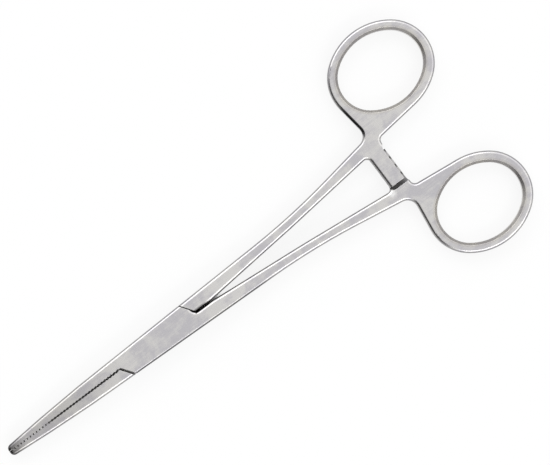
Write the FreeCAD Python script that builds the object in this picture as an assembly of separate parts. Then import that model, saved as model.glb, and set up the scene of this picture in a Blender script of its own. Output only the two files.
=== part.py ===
import FreeCAD, Part
import math
import os
from FreeCAD import Vector

# Straight box-lock forceps, closed and lying flat, in millimetres.
# The jaws point along +X, the finger rings lie at -X, and +Z is up.
# The pivot pin stands on the Z axis, and the underside of the box is on z = 0.
# Both halves are ground together once they are joined, so they are split from one blank.

# Lengths from the pivot
jaw_length = 44.8
handle_length = 95.15

# Heights of the forging
box_height = 5.0
handle_height = 3.4
tip_height = 2.3
box_front_x = 11.0
box_rear_x = -17.2
handle_start_x = -31.0
height_blend = 12.0

# Outer outline, as half widths of the closed forceps
tip_half_width = 1.35
tip_corner = 1.15
jaw_far_x = 34.0
jaw_far_half_width = 2.19
jaw_near_x = 22.0
box_half_width = 3.5
side_taper = 0.0296
shank_bend_x = -43.4
shank_bend_radius = 180.0
neck_slope = 0.163
neck_tuck = 1.35
neck_radius = 2.6

# Inner outline of a shank, as half of the opening between the two
crotch_x = -15.8
crotch_half_gap = 0.08
crotch_blend = 12.0
inner_bend_x = -41.6
inner_bend_half_gap = 2.33
inner_bend_radius = 60.0
window_half_gap = 4.92

# Finger ring, an oval of four arcs
ring_y = 19.9
ring_hole_length = 21.8
ring_hole_width = 17.8
ring_end_ease = 1.0
ring_hole_chamfer = 0.65
ring_wire = 2.65
ring_shift = 0.2
heel_half_gap = 6.9
heel_radius = 1.3
heel_step = 0.25

# Rounding of every outer edge
edge_round = 0.8

# Box lock
shoulder_inner_x = 11.6
shoulder_outer_x = 9.1
shoulder_corner = 0.4
crotch_corner = 1.5
tongue_height = 2.0
tongue_play = 0.05
front_seam = 0.4
rear_seam = 0.25
wall_play = 0.06
open_angle = 60.0
stop_margin = 2.0

# Pivot pin
pin_diameter = 2.6
pin_head_diameter = 3.2
pin_head_depth = 0.4
pin_play = 0.03

# Jaw serrations
tooth_pitch = 0.932
tooth_depth = 0.38
tooth_start_x = 12.2
tooth_end_margin = 0.6
jaw_gap_tip = 0.05
jaw_gap_root = 0.4
jaw_touch_x = 33.5

# Ratchet
arm_offset = 12.8
arm_width = 4.6
arm_step = 0.5
arm_reach = 4.2
arm_flare = 1.1
ratchet_teeth = 3
ratchet_pitch = 2.3
ratchet_land = 0.18
ratchet_drop = 0.1
ratchet_depth = 0.55
ratchet_play = 0.1
recess_end_play = 1.05
recess_corner = 1.2
recess_side_play = 0.25

mid = Vector(0, 0, box_height / 2)
tall = 2 * box_height
far = 3 * (ring_y + ring_hole_width)
ring_x = ring_hole_length / 2 + ring_wire - handle_length
ring_end_radius = ring_hole_width / 2 - ring_end_ease
arm_front_x = ring_x + arm_offset + arm_width / 2
arm_back_x = arm_front_x - arm_width
heel_x = arm_back_x - heel_step
recess_wall_y = arm_reach + recess_end_play
shoulder_lean = (shoulder_inner_x - shoulder_outer_x) / box_half_width
split_x = 1.2 * crotch_x


# Outlines

def corner_arc(before, corner, after, radius):
    # Arc tangent to both sides of a corner
    back = (before - corner).normalize()
    on = (after - corner).normalize()
    half = back.getAngle(on) / 2
    reach = radius / math.tan(half)
    inward = (back + on).normalize()
    crown = corner + inward * (radius / math.sin(half) - radius)
    return Part.Arc(corner + back * reach, crown, corner + on * reach).toShape()


def ends(edge):
    return edge.valueAt(edge.FirstParameter), edge.valueAt(edge.LastParameter)


def rounded_path(corners):
    # Edges through the corners in order; a third number in a corner is its radius
    points = [Vector(c[0], c[1], 0) for c in corners]
    path = []
    here = points[0]
    for i in range(1, len(points)):
        there = points[i]
        arc = None
        if len(corners[i]) == 3 and i + 1 < len(points):
            arc = corner_arc(points[i - 1], points[i], points[i + 1], corners[i][2])
            there, after = ends(arc)
        if here.distanceToPoint(there) > 1e-6:
            path.append(Part.makeLine(here, there))
        if arc:
            path.append(arc)
            there = after
        here = there
    return path


def rounded_face(corners):
    return Part.Face(Part.Wire(rounded_path(list(corners) + [corners[0][:2]])))


def prism(face, low, high):
    # A flat face in the XY plane raised to fill the heights low to high, measured from mid
    solid = face.extrude(Vector(0, 0, high - low))
    solid.translate(mid + Vector(0, 0, low))
    return solid


def turned_over(shape):
    # The same form on the other half: half a turn about the long axis
    return shape.rotated(mid, Vector(1, 0, 0), 180)


def side_y(x):
    # Half width of the straight run from the jaw to the shank bend
    return box_half_width - side_taper * x


class Oval:
    # Four tangent arcs: two ends and two flatter sides. grow offsets it outwards.
    def __init__(self, centre_y, grow):
        half_width = ring_hole_width / 2
        self.end_shift = ring_hole_length / 2 - ring_end_radius
        flat = self.end_shift ** 2 + half_width ** 2 - ring_end_radius ** 2
        side_radius = flat / (2 * (half_width - ring_end_radius))
        self.side_shift = side_radius - half_width
        self.centre = Vector(ring_x, centre_y, 0)
        self.radii = [ring_end_radius + grow, side_radius + grow]

    def piece(self, quarter):
        # Centre, radius and the two end angles of the right, upper, left or lower arc
        shift = [(self.end_shift, 0), (0, -self.side_shift), (-self.end_shift, 0), (0, self.side_shift)]
        turn = math.atan2(self.side_shift, self.end_shift)
        spread = math.pi / 2 - turn if quarter % 2 else turn
        heading = quarter * math.pi / 2
        centre = self.centre + Vector(*shift[quarter], 0)
        return centre, self.radii[quarter % 2], heading - spread, heading + spread

    def arc(self, quarter, start=None, stop=None):
        centre, radius, first, last = self.piece(quarter)
        first = first if start is None else start
        last = last if stop is None else stop
        spots = [first, (first + last) / 2, last]
        points = [centre + Vector(radius * math.cos(t), radius * math.sin(t), 0) for t in spots]
        return Part.Arc(*points).toShape()

    def touch(self, point, side):
        # Which arc the tangent from a point outside touches, and at what angle
        for quarter in range(4):
            centre, radius, first, last = self.piece(quarter)
            away = point - centre
            if away.Length > radius:
                angle = math.atan2(away.y, away.x) + side * math.acos(radius / away.Length)
                turned = (angle - first) % (2 * math.pi)
                if turned <= last - first:
                    return quarter, first + turned

    def run(self, start, stop):
        # Arcs round the oval, anticlockwise from one touching point to the other
        steps = (stop[0] - start[0] - 1) % 4 + 1
        whole = [self.arc((start[0] + i) % 4) for i in range(1, steps)]
        return [self.arc(start[0], start=start[1])] + whole + [self.arc(stop[0], stop=stop[1])]


def outer_outline():
    # Jaw back, box side, shank back, ring and heel of the +Y side
    ring = Oval(ring_y - ring_shift, ring_wire)
    neck_x = ring_x + ring_hole_length / 2 + ring_wire - neck_tuck
    neck_y = side_y(shank_bend_x) + neck_slope * (shank_bend_x - neck_x)
    start = ring.touch(Vector(neck_x, neck_y, 0), 1)
    stop = ring.touch(Vector(heel_x, heel_half_gap, 0), -1)
    arcs = ring.run(start, stop)
    first = ends(arcs[0])[0]
    last = ends(arcs[-1])[1]
    back = rounded_path([
        (jaw_length, 0),
        (jaw_length, tip_half_width, tip_corner),
        (jaw_far_x, jaw_far_half_width),
        (jaw_near_x, side_y(jaw_near_x)),
        (shank_bend_x, side_y(shank_bend_x), shank_bend_radius),
        (neck_x, neck_y, neck_radius),
        (first.x, first.y),
    ])
    return back + arcs, last


def inner_outline(start, crotch_end_x):
    # From the ring's heel round an arm that is still too long, then along the shank
    rough_end = -arm_reach - 2 * edge_round
    return rounded_path([
        (start.x, start.y),
        (heel_x, heel_half_gap, heel_radius),
        (heel_x, rough_end, heel_radius),
        (arm_front_x, rough_end, heel_radius),
        (arm_front_x, window_half_gap, arm_flare),
        (inner_bend_x, inner_bend_half_gap, inner_bend_radius),
        (crotch_x, crotch_half_gap, crotch_blend),
        (crotch_end_x, crotch_half_gap),
        (crotch_end_x, 0),
    ])


# The blank

def side_profile():
    # Heights along the object, as one face in the XZ plane
    upper = [
        (jaw_length + 1, tip_height / 2),
        (box_front_x, box_height / 2, height_blend),
        (box_rear_x, box_height / 2, height_blend),
        (handle_start_x, handle_height / 2, height_blend),
        (-handle_length - 1, handle_height / 2),
    ]
    lower = [(c[0], -c[1]) + tuple(c[2:]) for c in reversed(upper)]
    face = rounded_face(upper + lower)
    face.rotate(Vector(0, 0, 0), Vector(1, 0, 0), 90)
    return face


def rim(solid, path):
    # Upper and lower edges of a solid that lie over a path in plan
    line = Part.Compound(path)
    found = []
    for edge in solid.Edges:
        first, last = ends(edge)
        middle = edge.valueAt((edge.FirstParameter + edge.LastParameter) / 2)
        upright = math.hypot(first.x - last.x, first.y - last.y) < 1e-6
        spot = Part.Vertex(middle.x, middle.y, 0)
        if not upright and abs(middle.z - mid.z) > tip_height / 4 and line.distToShape(spot)[0] < 0.001:
            found.append(edge)
    return found


def arm_trim(back_x):
    # The arm is sawn to length, and its ring side is cut back, which leaves both edges sharp
    heel_end = heel_half_gap - heel_radius
    return rounded_face([
        (heel_x - arm_width, heel_end),
        (heel_x, heel_end),
        (back_x, heel_end - arm_flare, heel_radius),
        (back_x, -arm_reach),
        (arm_front_x + 1, -arm_reach),
        (arm_front_x + 1, -2 * arm_reach),
        (heel_x - arm_width, -2 * arm_reach),
    ])


def side_blank(back_x, crotch_end_x):
    # The +Y side of the closed forceps at full height, its ratchet arm included
    outer, last = outer_outline()
    inner = inner_outline(last, crotch_end_x)
    closing = Part.makeLine(Vector(crotch_end_x, 0, 0), Vector(jaw_length, 0, 0))
    hole = [Oval(ring_y, 0).arc(quarter) for quarter in range(4)]
    plan = Part.Face(Part.Wire(outer + inner + [closing])).cut(Part.Face(Part.Wire(hole)))
    heights = side_profile().extrude(Vector(0, 2 * far, 0))
    heights.translate(mid - Vector(0, far, 0))
    slab = prism(plan, -tall, tall).common(heights)
    slab = slab.makeFillet(edge_round, rim(slab, outer + inner[:-1]))
    slab = slab.makeChamfer(ring_hole_chamfer, rim(slab, hole))
    return slab.cut(prism(arm_trim(back_x), -tall, tall))


def ahead(side):
    # The part of a side in front of the crotch, where the two halves cross
    block = Part.makeBox(2 * far, 2 * far, 2 * tall, Vector(split_x, -far, mid.z - tall))
    return side.common(block)


# Where the halves are parted

def jaw_gap(x):
    # The jaws meet near the tip, and the gap widens evenly towards the box
    share = max(0.0, (jaw_touch_x - x) / (jaw_touch_x - tooth_start_x))
    return jaw_gap_tip + share * (jaw_gap_root - jaw_gap_tip)


def serrated_line(side):
    # Inner face of one jaw in plan, from the tip to the box: an even zigzag
    teeth = int((jaw_length - tooth_end_margin - tooth_start_x) / tooth_pitch)
    line = [(jaw_length + 2, side * jaw_gap_tip / 2)]
    for i in range(2 * teeth, -1, -1):
        x = tooth_start_x + i * tooth_pitch / 2
        swing = tooth_depth / 2 if i % 2 else -tooth_depth / 2
        line.append((x, side * jaw_gap(x) / 2 + swing))
    return line


def slot_corners():
    # Where the slot's two end walls meet the box sides. The tongue's edge lands on
    # them at the widest opening.
    foot = box_half_width * side_taper
    reach = box_half_width * math.tan(math.radians(open_angle + stop_margin) / 2)
    return foot + reach, foot - reach


def shoulder_foot(root_x):
    # A shoulder's line runs outwards from its root and towards the pivot
    return root_x - math.copysign(shoulder_lean * far, root_x)


def crotch_start():
    # Where the box half's inner edge begins to turn into its rear shoulder
    turn = math.atan2(1, shoulder_lean)
    return rear_seam - shoulder_inner_x - crotch_corner * math.tan(turn / 2)


def jaw_region(side, x_shift):
    # Plan of the tongue half's jaw, bounded by the serrations and the front shoulder
    root_x = shoulder_inner_x + x_shift
    root = (root_x, side * jaw_gap(shoulder_inner_x) / 2, shoulder_corner)
    return rounded_face(serrated_line(side) + [root, (shoulder_foot(root_x), far), (jaw_length + 2, far)])


def shank_region(level, x_shift, corner):
    # Plan of the tongue half's shank, bounded by the rear shoulder and the crotch
    root_x = x_shift - shoulder_inner_x
    foot = (shoulder_foot(root_x), level - far)
    return rounded_face([(split_x, level), (split_x, level - far), foot, (root_x, level, corner)])


def tongue_region(side, play):
    # Plan of the tongue with its jaw and shank: it runs slantwise through the slot
    front, rear = slot_corners()
    return rounded_face(serrated_line(side) + [
        (shoulder_inner_x, -play),
        (front, -side_y(front) - play),
        (front, -far),
        (split_x, -far),
        (split_x, 0),
        (-shoulder_inner_x, play),
        (rear, side_y(rear) + play),
        (rear, far),
        (jaw_length + 2, far),
    ])


def crotch_flare():
    # Carries the rounding of the box half's inner edge on round the crotch corner, and
    # lets it run out along the rear shoulder
    level = box_height / 2
    edge = Vector(crotch_corner, 0, level - edge_round)
    top = Vector(crotch_corner + edge_round, 0, level)
    middle = Vector(top.x, 0, edge.z) + Vector(-1, 0, 1).normalize() * edge_round
    rest = Part.makePolygon([top, Vector(top.x, 0, tall), Vector(0, 0, tall), Vector(0, 0, edge.z), edge])
    section = Part.Face(Part.Wire([Part.Arc(edge, middle, top).toShape()] + rest.Edges))
    plug = section.revolve(Vector(0, 0, 0), Vector(0, 0, 1), 360)
    other = plug.mirror(Vector(0, 0, 0), Vector(0, 0, 1))
    centre = mid + Vector(crotch_start(), crotch_half_gap - crotch_corner, 0)
    return [plug.translated(centre), other.translated(centre)]


def pivot_pin():
    # Rivet with its ends spread into the countersinks and ground flush
    shank = pin_diameter / 2
    head = pin_head_diameter / 2
    half = [
        (0, -box_height / 2), (head, -box_height / 2), (shank, -box_height / 2 + pin_head_depth),
        (shank, box_height / 2 - pin_head_depth), (head, box_height / 2), (0, box_height / 2),
    ]
    section = Part.makePolygon([mid + Vector(x, 0, z) for x, z in half + half[:1]])
    return Part.Face(section).revolve(mid, Vector(0, 0, 1), 360)


def arm_recess():
    # What is ground away over the +Y half's arm: a pocket for the other arm, and the
    # gaps between the ratchet teeth. Each tooth rises slowly and drops steeply.
    play = recess_side_play
    plan = rounded_face([
        (arm_back_x - arm_width, -arm_reach - 1),
        (arm_front_x + play, -arm_reach - 1),
        (arm_front_x + play, recess_wall_y, recess_corner),
        (arm_back_x - arm_width, recess_wall_y),
    ])
    top = -ratchet_play / 2
    floor = top - ratchet_depth
    line = [(-arm_reach - 1, tall), (-arm_reach - 1, floor)]
    for i in range(ratchet_teeth):
        foot = -arm_reach + i * ratchet_pitch
        crest = foot + ratchet_pitch - ratchet_drop
        line += [(foot, floor), (crest - ratchet_land, top), (crest, top)]
    line += [(-arm_reach + ratchet_teeth * ratchet_pitch, floor), (recess_wall_y, floor), (recess_wall_y, tall)]
    comb = Part.makePolygon([mid + Vector(-far, y, z) for y, z in line + line[:1]])
    return prism(plan, -tall, tall).common(Part.Face(comb).extrude(Vector(2 * far, 0, 0)))


# The two halves

def box_half(side):
    blank = side.fuse(ahead(turned_over(side))).removeSplitter()
    slot = tongue_height / 2 + tongue_play
    waste = [
        prism(jaw_region(-1, -front_seam), -tall, tall),
        prism(shank_region(crotch_half_gap, rear_seam, crotch_corner), -tall, tall),
        prism(tongue_region(-1, wall_play), -slot, slot),
        pivot_pin(),
        arm_recess(),
    ] + crotch_flare()
    for piece in waste:
        blank = blank.cut(piece)
    return blank


def tongue_half(side):
    crotch_end_x = edge_round * shoulder_lean - shoulder_inner_x
    own_side = turned_over(side_blank(arm_back_x + arm_step, crotch_end_x))
    blank = own_side.fuse(ahead(side)).removeSplitter()
    behind = Part.makeBox(2 * far, 2 * far, 2 * tall, Vector(split_x - 2 * far, -far, mid.z - tall))
    own = behind.fuse([
        prism(jaw_region(1, 0), -tall, tall),
        prism(shank_region(0, 0, shoulder_corner), -tall, tall),
        prism(tongue_region(1, 0), -tongue_height / 2, tongue_height / 2),
    ])
    hole = Part.makeCylinder(pin_diameter / 2 + pin_play, 2 * tall, mid - Vector(0, 0, tall))
    return blank.common(own).cut([hole, turned_over(arm_recess())])


def main():
    os.makedirs("parts", exist_ok=True)
    side = side_blank(arm_back_x, crotch_start())
    pieces = {
        "box_half": box_half(side),
        "tongue_half": tongue_half(side),
        "pivot_pin": pivot_pin(),
    }
    for name, shape in pieces.items():
        solid = shape.Solids[0] if len(shape.Solids) == 1 else shape
        solid.exportStep(os.path.join("parts", name + ".step"))
        print(name, shape.isValid(), len(shape.Solids), round(shape.Volume, 2))


main()
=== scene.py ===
import math
import bpy
from mathutils import Matrix, Vector

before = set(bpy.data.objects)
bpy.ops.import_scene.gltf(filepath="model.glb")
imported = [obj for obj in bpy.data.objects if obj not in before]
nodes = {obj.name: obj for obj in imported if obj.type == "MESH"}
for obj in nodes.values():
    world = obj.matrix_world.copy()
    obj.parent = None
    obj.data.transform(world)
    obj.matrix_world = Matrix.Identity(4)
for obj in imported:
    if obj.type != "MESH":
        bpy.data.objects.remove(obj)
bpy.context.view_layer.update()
scene = bpy.context.scene
scene.view_settings.view_transform = "Standard"


# a shader socket that can be added, multiplied and so on, each of which adds a node
class Socket:
    def __init__(self, tree, out):
        self.tree = tree
        self.out = out

    def maths(self, operation, *values):
        return addNode(self.tree, "ShaderNodeMath", {"operation": operation}, dict(enumerate(values)))

    def __add__(self, other):
        return self.maths("ADD", self, other)

    __radd__ = __add__

    def __sub__(self, other):
        return self.maths("SUBTRACT", self, other)

    def __rsub__(self, other):
        return self.maths("SUBTRACT", other, self)

    def __mul__(self, other):
        return self.maths("MULTIPLY", self, other)

    __rmul__ = __mul__

    def power(self, other):
        return self.maths("POWER", self, other)

    def larger(self, other):
        return self.maths("MAXIMUM", self, other)

    def size(self):
        return self.maths("ABSOLUTE", self)

    def wave(self):
        return self.maths("SINE", self)

    def fraction(self):
        return self.maths("FRACT", self)

    def smooth(self, low, high):
        # 0 at low, 1 at high, eased between them
        return addNode(self.tree, "ShaderNodeMapRange", {"interpolation_type": "SMOOTHSTEP"},
                       {"Value": self, "From Min": low, "From Max": high})

    def between(self, steps):
        # 1 between the middle two of four steps, 0 outside the outer two
        return self.smooth(steps[0], steps[1]) * (1 - self.smooth(steps[2], steps[3]))


def addNode(tree, kind, settings=None, values=None, out=0):
    node = tree.nodes.new(kind)
    for name, value in (settings or {}).items():
        setattr(node, name, value)
    for name, value in (values or {}).items():
        if isinstance(value, Socket):
            tree.links.new(value.out, node.inputs[name])
        else:
            node.inputs[name].default_value = value
    return Socket(tree, node.outputs[out])


# a Mix node's sockets share their names, so they go by number: two inputs and the output
mixSockets = {"RGBA": (6, 7, 2), "VECTOR": (4, 5, 1)}


def mix(tree, kind, factor, first, second, blend="MIX"):
    firstIn, secondIn, out = mixSockets[kind]
    return addNode(tree, "ShaderNodeMix", {"data_type": kind, "blend_type": blend},
                   {0: factor, firstIn: first, secondIn: second}, out)


def mixColour(tree, factor, first, second):
    return mix(tree, "RGBA", factor, first, second)


def tint(tree, colour, tone):
    return mix(tree, "RGBA", 1.0, colour, tone, "MULTIPLY")


def vectorMaths(tree, operation, first, second=(0, 0, 0), out="Value"):
    return addNode(tree, "ShaderNodeVectorMath", {"operation": operation}, {0: first, 1: second}, out)


def coordinate(tree, place, axis):
    return addNode(tree, "ShaderNodeSeparateXYZ", None, {"Vector": place}, axis)


def openness(tree, look):
    # 1 in the open, 0 deep in a crease or a slit
    reach = addNode(tree, "ShaderNodeAmbientOcclusion", {"samples": look["samples"]},
                    {"Distance": look["reach"]}, "AO")
    return reach.smooth(*look["open"])


def grey(value):
    return (value, value, value, 1)


# places and lengths are in metres, from the pivot and the underside of the box
jawLine = {"span": (0.0119, 0.0122, 0.0438, 0.0448), "edge": (0.000147, 0.000273), "pitch": 0.000932,
           "ripple": 0.00006, "dotsFade": (0.0315, 0.0345), "dot": (0.1, 0.8), "dotShrink": 0.00005}


def jawGapShade(tree, place):
    # painted shade: a dark line where the jaws meet, which breaks up into one dot for each tooth
    # towards the tip
    x = coordinate(tree, place, "X")
    tooth = (x * (2 * math.pi / jawLine["pitch"])).wave()
    dots = x.smooth(*jawLine["dotsFade"])
    aside = coordinate(tree, place, "Y").size()
    aside = aside - jawLine["ripple"] * tooth + jawLine["dotShrink"] * dots
    line = 1 - aside.smooth(*jawLine["edge"])
    line = line * (1 - dots * (1 - tooth.smooth(*jawLine["dot"])))
    return line * x.between(jawLine["span"])


ratchet = {"middle": -0.0689, "half": (0.0028, 0.0031), "reach": (0.0054, 0.0056), "height": 0.0025,
           "play": (0.0009, 0.001), "armEnd": 0.0042, "pocketEdge": 0.0001, "pitch": 0.0023,
           "foot": (0.15, 0.4), "toothShare": 0.5, "footShare": 0.85, "pocketShare": 0.88,
           "pocketFade": 0.4}


def ratchetShade(tree, place):
    # painted shade: the two arms lie on each other, so the teeth and the pockets between them are
    # painted dark
    x = coordinate(tree, place, "X") - ratchet["middle"]
    y = coordinate(tree, place, "Y")
    z = coordinate(tree, place, "Z") - ratchet["height"]
    inside = 1 - x.size().smooth(*ratchet["half"])
    inside = inside * (1 - y.size().smooth(*ratchet["reach"]))
    inside = inside * (1 - z.size().smooth(*ratchet["play"]))
    # the painted shade is darkest at each tooth's foot, and in the pocket past the arm's end, on its
    # jaw side
    climb = ((y + ratchet["armEnd"]) * (1 / ratchet["pitch"])).fraction()
    foot = 1 - climb.smooth(*ratchet["foot"])
    teeth = ratchet["toothShare"] + foot * (ratchet["footShare"] - ratchet["toothShare"])
    fade = 1 - ratchet["pocketFade"] * (1 - x.smooth(-ratchet["half"][0], 0))
    pocket = y.size().smooth(ratchet["armEnd"] - ratchet["pocketEdge"], ratchet["armEnd"])
    return inside * (teeth + pocket * (ratchet["pocketShare"] * fade - teeth))


# the inner rims of the ring holes, as ovals that grow from the middle of a hole
ringHole = {"middle": (-0.0816, 0.0199), "half": (0.0109, 0.0089), "band": (1.085, 1.13)}


def ringRim(tree, place):
    x = (coordinate(tree, place, "X") - ringHole["middle"][0]) * (1 / ringHole["half"][0])
    y = (coordinate(tree, place, "Y").size() - ringHole["middle"][1]) * (1 / ringHole["half"][1])
    return 1 - (x * x + y * y).power(0.5).smooth(*ringHole["band"])


# painted shade: the steep part of a rounded edge is darker than its crest, but not inside the ring
# holes
steepShade = {"steepness": (0.02, 0.2, 0.62, 0.86), "tone": 0.58}

# edges with darker painted shade still, each between the middle two of four steps along x and y:
# the box's outer edge with the first of its shank, both sides of the crotch, and one ring's neck
shadedEdges = [
    {"x": (-0.034, -0.026, 0.009, 0.0093), "y": (0.0008, 0.0012, 0.02, 0.03),
     "side": (0, 1, 0), "tone": 0.6},
    {"x": (-0.0165, -0.0135, -0.0108, -0.01), "y": (-0.02, -0.01, -0.0002, 0.0002),
     "side": (0, 1, 0), "tone": 0.2},
    {"x": (-0.0165, -0.0145, -0.0112, -0.0108), "y": (-0.002, -0.001, 0.0003, 0.00045),
     "side": (0, -1, 0), "tone": 0.1},
    {"x": (-0.0712, -0.0705, -0.06, -0.055), "y": (-0.021, -0.0155, -0.0105, -0.0094),
     "side": (1, 0, 0), "tone": 0.3},
]
shadeFacing = (0.1, 0.28)


def edgeShade(tree, place, rim):
    normal = addNode(tree, "ShaderNodeTexCoord", out="Normal")
    steep = coordinate(tree, normal, "Z").size().between(steepShade["steepness"]) * (1 - rim)
    shade = 1 - (1 - steepShade["tone"]) * steep
    for edge in shadedEdges:
        here = coordinate(tree, place, "X").between(edge["x"])
        here = here * coordinate(tree, place, "Y").between(edge["y"])
        facing = vectorMaths(tree, "DOT_PRODUCT", normal, edge["side"]).smooth(*shadeFacing)
        shade = shade - (1 - edge["tone"]) * here * facing
    return shade


def addUp(grains, shares):
    # the grains together, each by its share
    total = 0
    for name, share in shares.items():
        total = total + share * grains[name]
    return total


steel = {
    "cool": (0.528, 0.516, 0.538, 1),
    "warm": (0.645, 0.633, 0.619, 1),
    "coolToWarm": (0.42, 0.58),
    "toneGrains": {"cloud": 0.5, "mottle": 0.32, "brush": 0.18},
    # colours for worn edges and one painted glint, then for painted shade in creases, on the jaws, at
    # the tip and on the hole rims
    "polishAndGlint": (0.84, 0.835, 0.83, 1),
    "shadeColour": (0.05, 0.048, 0.046, 1),
    "jawShade": (0.85, 0.845, 0.835, 1),
    "jawFade": (0.010, 0.030),
    "tipShade": (0.22, 0.217, 0.21, 1),
    "tipFade": (0.0392, 0.0452),
    "holeShade": (0.92, 0.905, 0.87, 1),
    "roughness": 0.19,
    "roughGrains": {"brush": 0.08, "cloud": 0.07},
    "wornSmoother": 0.08,
    "shadeRougher": 0.2,
    "bump": 0.16,
    "bumpDepth": 0.00003,
    "bumpGrains": {"brush": 0.6, "mottle": 0.5},
}

# brushing runs along the tool, clouds and mottling have no direction
grainNoise = {
    "brush": {"Scale": 2600, "Detail": 3, "Roughness": 0.62},
    "cloud": {"Scale": 120, "Detail": 5, "Roughness": 0.55, "Distortion": 0.8},
    "mottle": {"Scale": 460, "Detail": 3, "Roughness": 0.6},
}
brushStretch = (0.03, 1, 1)

# where the steel is worn bright, on sharp edges though not round the flush pin;
# and where a glint is painted, at one spot by the ratchet
wornEdge = {"reach": 0.00014, "samples": 6, "leaves": (0.02, 0.22), "patches": (0.3, 0.62),
            "pinClear": (0.0022, 0.0025)}
glintSpot = {"at": (-0.0661, 0.0056, 0.0042), "fade": (0.00039, 0.0013), "patches": (0.38, 0.56)}

# painted shade: creases and slots are painted dark, over any worn-bright edge
crease = {"reach": 0.0016, "samples": 8, "open": (0.12, 0.62)}


def makeSteel(name, brushTurn):
    mat = bpy.data.materials.new(name)
    mat.use_nodes = True
    tree = mat.node_tree
    shader = tree.nodes["Principled BSDF"]
    place = addNode(tree, "ShaderNodeTexCoord", out="Object")
    x = coordinate(tree, place, "X")

    along = addNode(tree, "ShaderNodeMapping", None,
                    {"Vector": place, "Rotation": (0, 0, brushTurn), "Scale": brushStretch})
    grains = {}
    for grain, look in grainNoise.items():
        where = along if grain == "brush" else place
        grains[grain] = addNode(tree, "ShaderNodeTexNoise", None, {"Vector": where, **look})
    mottle = grains["mottle"]

    # a sharp edge is where a slightly rounded normal leaves the real one
    flat = addNode(tree, "ShaderNodeNewGeometry", out="Normal")
    rounded = addNode(tree, "ShaderNodeBevel", {"samples": wornEdge["samples"]},
                      {"Radius": wornEdge["reach"]})
    meet = vectorMaths(tree, "DOT_PRODUCT", flat, rounded)
    level = vectorMaths(tree, "MULTIPLY", place, (1, 1, 0), "Vector")
    away = vectorMaths(tree, "LENGTH", level).smooth(*wornEdge["pinClear"])
    wear = (1 - meet).smooth(*wornEdge["leaves"]) * mottle.smooth(*wornEdge["patches"]) * away
    facing = mix(tree, "VECTOR", away, flat, rounded)
    # a painted glint at one spot by the ratchet
    spot = vectorMaths(tree, "DISTANCE", place, glintSpot["at"])
    paintedGlint = (1 - spot.smooth(*glintSpot["fade"])) * mottle.smooth(*glintSpot["patches"])

    # painted shade in creases and slots, where the jaws meet, and between the ratchet arms
    unshaded = openness(tree, crease) * (1 - jawGapShade(tree, place)) * (1 - ratchetShade(tree, place))

    tone = addUp(grains, steel["toneGrains"]).smooth(*steel["coolToWarm"])
    rim = ringRim(tree, place)
    body = mixColour(tree, tone, steel["cool"], steel["warm"])
    # painted shade: the jaws darken towards the tip, and the tip itself further
    body = mixColour(tree, x.smooth(*steel["jawFade"]), body, tint(tree, body, steel["jawShade"]))
    body = mixColour(tree, x.smooth(*steel["tipFade"]), body, tint(tree, body, steel["tipShade"]))
    # painted shade on the inner rims of the ring holes
    body = mixColour(tree, rim, body, tint(tree, body, steel["holeShade"]))
    # worn-bright edges, and the painted glint by the ratchet
    body = mixColour(tree, wear.larger(paintedGlint), body, steel["polishAndGlint"])
    # painted shade on steep edges and on the listed darker edges
    body = tint(tree, body, edgeShade(tree, place, rim))
    # the painted shade colour over creases, slots, the jaw line and the ratchet
    colour = mixColour(tree, unshaded, steel["shadeColour"], body)
    tree.links.new(colour.out, shader.inputs["Base Color"])
    rough = steel["roughness"] + addUp(grains, steel["roughGrains"])
    rough = rough - steel["wornSmoother"] * wear + steel["shadeRougher"] * (1 - unshaded)
    tree.links.new(rough.out, shader.inputs["Roughness"])
    bump = addNode(tree, "ShaderNodeBump", None,
                   {"Strength": steel["bump"], "Distance": steel["bumpDepth"],
                    "Height": addUp(grains, steel["bumpGrains"]), "Normal": facing})
    tree.links.new(bump.out, shader.inputs["Normal"])
    shader.inputs["Metallic"].default_value = 1
    return mat


brushTurns = {"satinSteel": 0, "pinSteel": 38}  # degrees
finishes = {"box_half": "satinSteel", "tongue_half": "satinSteel", "pivot_pin": "pinSteel"}
metals = {name: makeSteel(name, math.radians(turn)) for name, turn in brushTurns.items()}
for piece, finish in finishes.items():
    nodes[piece].material_slots[0].material = metals[finish]
print("materials done")


floorLook = {
    "width": 3.0,
    "drop": 0.00002,
    "colour": grey(0.97),
    "roughness": 0.9,
    "white": grey(0.972),
    "whiteShare": 0.88,
    "seenBy": ("Is Camera Ray", "Is Glossy Ray", "Is Transmission Ray"),
}
floorSlit = {"reach": 0.001, "samples": 16, "open": (0.22, 0.46)}


def makeFloor():
    bpy.ops.mesh.primitive_plane_add(size=floorLook["width"], location=(0, 0, -floorLook["drop"]))
    floor = bpy.context.object
    floor.name = "floor"
    mat = bpy.data.materials.new("paleFloor")
    mat.use_nodes = True
    tree = mat.node_tree
    shader = tree.nodes["Principled BSDF"]
    shader.inputs["Base Color"].default_value = floorLook["colour"]
    shader.inputs["Roughness"].default_value = floorLook["roughness"]
    shader.inputs["Specular IOR Level"].default_value = 0
    # seen straight or in the metal it is near white, except down in a slit, and it keeps a soft shadow
    seen = 0
    for ray in floorLook["seenBy"]:
        seen = seen + addNode(tree, "ShaderNodeLightPath", out=ray)
    glow = addNode(tree, "ShaderNodeEmission", None, {"Color": floorLook["white"], "Strength": 1})
    share = floorLook["whiteShare"] * seen * openness(tree, floorSlit)
    surface = addNode(tree, "ShaderNodeMixShader", None,
                      {0: share, 1: Socket(tree, shader.outputs[0]), 2: glow})
    tree.links.new(surface.out, tree.nodes["Material Output"].inputs["Surface"])
    floor.data.materials.append(mat)


# a room of soft light: dim at the horizon, a bright band above it, quieter overhead,
# and one dark gap beyond the jaws
room = {
    "low": 0.5,
    "rise": (0.05, 0.5),
    "band": 1.4,
    "fall": (0.8, 0.985),
    "zenith": 0.93,
    "brightSide": (-0.3, -0.95, 0),
    "sideSwing": 0.1,
    "darkSide": (0.80, -0.10, 0.59),
    "darkFade": (0.77, 0.91),
    "darkShare": 0.97,
    "backdrop": grey(0.972),
}


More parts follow.
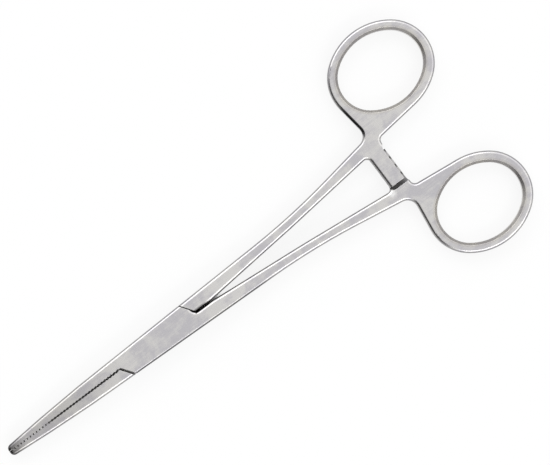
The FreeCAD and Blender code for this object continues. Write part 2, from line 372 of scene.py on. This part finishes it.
def makeWorld():
    world = bpy.data.worlds.new("studio")
    scene.world = world
    world.use_nodes = True
    tree = world.node_tree
    back = tree.nodes["Background"]
    look = addNode(tree, "ShaderNodeTexCoord", out="Generated")
    height = coordinate(tree, look, "Z")
    side = vectorMaths(tree, "DOT_PRODUCT", look, room["brightSide"])
    gap = vectorMaths(tree, "DOT_PRODUCT", look, room["darkSide"])
    light = room["low"] + height.smooth(*room["rise"]) * (room["band"] - room["low"])
    light = light - height.smooth(*room["fall"]) * (room["band"] - room["zenith"])
    light = light * (1 + room["sideSwing"] * side)
    light = light * (1 - room["darkShare"] * gap.smooth(*room["darkFade"]))
    back.inputs["Color"].default_value = grey(1)
    tree.links.new(light.out, back.inputs["Strength"])
    # the camera sees a plain backdrop instead
    camera = addNode(tree, "ShaderNodeLightPath", out="Is Camera Ray")
    backdrop = addNode(tree, "ShaderNodeBackground", None, {"Color": room["backdrop"], "Strength": 1})
    surface = addNode(tree, "ShaderNodeMixShader", None,
                      {0: camera, 1: Socket(tree, back.outputs[0]), 2: backdrop})
    tree.links.new(surface.out, tree.nodes["World Output"].inputs["Surface"])


lampAim = (-0.03, 0, 0)
lamps = [
    {"name": "keySide", "at": (-0.15, -0.75, 0.8), "size": (1.0, 0.4), "power": 2.0},
    {"name": "farSide", "at": (0.0, 0.7, 0.75), "size": (1.0, 0.25), "power": 2.2},
]


def makeLamp(lamp):
    light = bpy.data.lights.new(lamp["name"], "AREA")
    light.shape = "RECTANGLE"
    light.size, light.size_y = lamp["size"]
    light.energy = lamp["power"]
    holder = bpy.data.objects.new(lamp["name"], light)
    scene.collection.objects.link(holder)
    at = Vector(lamp["at"])
    aim = (Vector(lampAim) - at).to_track_quat("-Z", "Y")
    holder.matrix_world = Matrix.Translation(at) @ aim.to_matrix().to_4x4()


# straight down, turned as the photograph is
view = {
    "height": 0.609,
    "focal": 165,
    "sensor": 36,
    "nearest": 0.01,
    "over": (-0.0379, -0.0039),
    "turn": 143.09,
}


def makeCamera():
    data = bpy.data.cameras.new("camera")
    data.lens = view["focal"]
    data.sensor_width = view["sensor"]
    data.sensor_fit = "HORIZONTAL"
    data.clip_start = view["nearest"]
    holder = bpy.data.objects.new("camera", data)
    scene.collection.objects.link(holder)
    turn = Matrix.Rotation(math.radians(view["turn"]), 4, "Z")
    holder.matrix_world = Matrix.Translation((*view["over"], view["height"])) @ turn
    scene.camera = holder


makeFloor()
makeWorld()
for lamp in lamps:
    makeLamp(lamp)
makeCamera()
print("stage done")
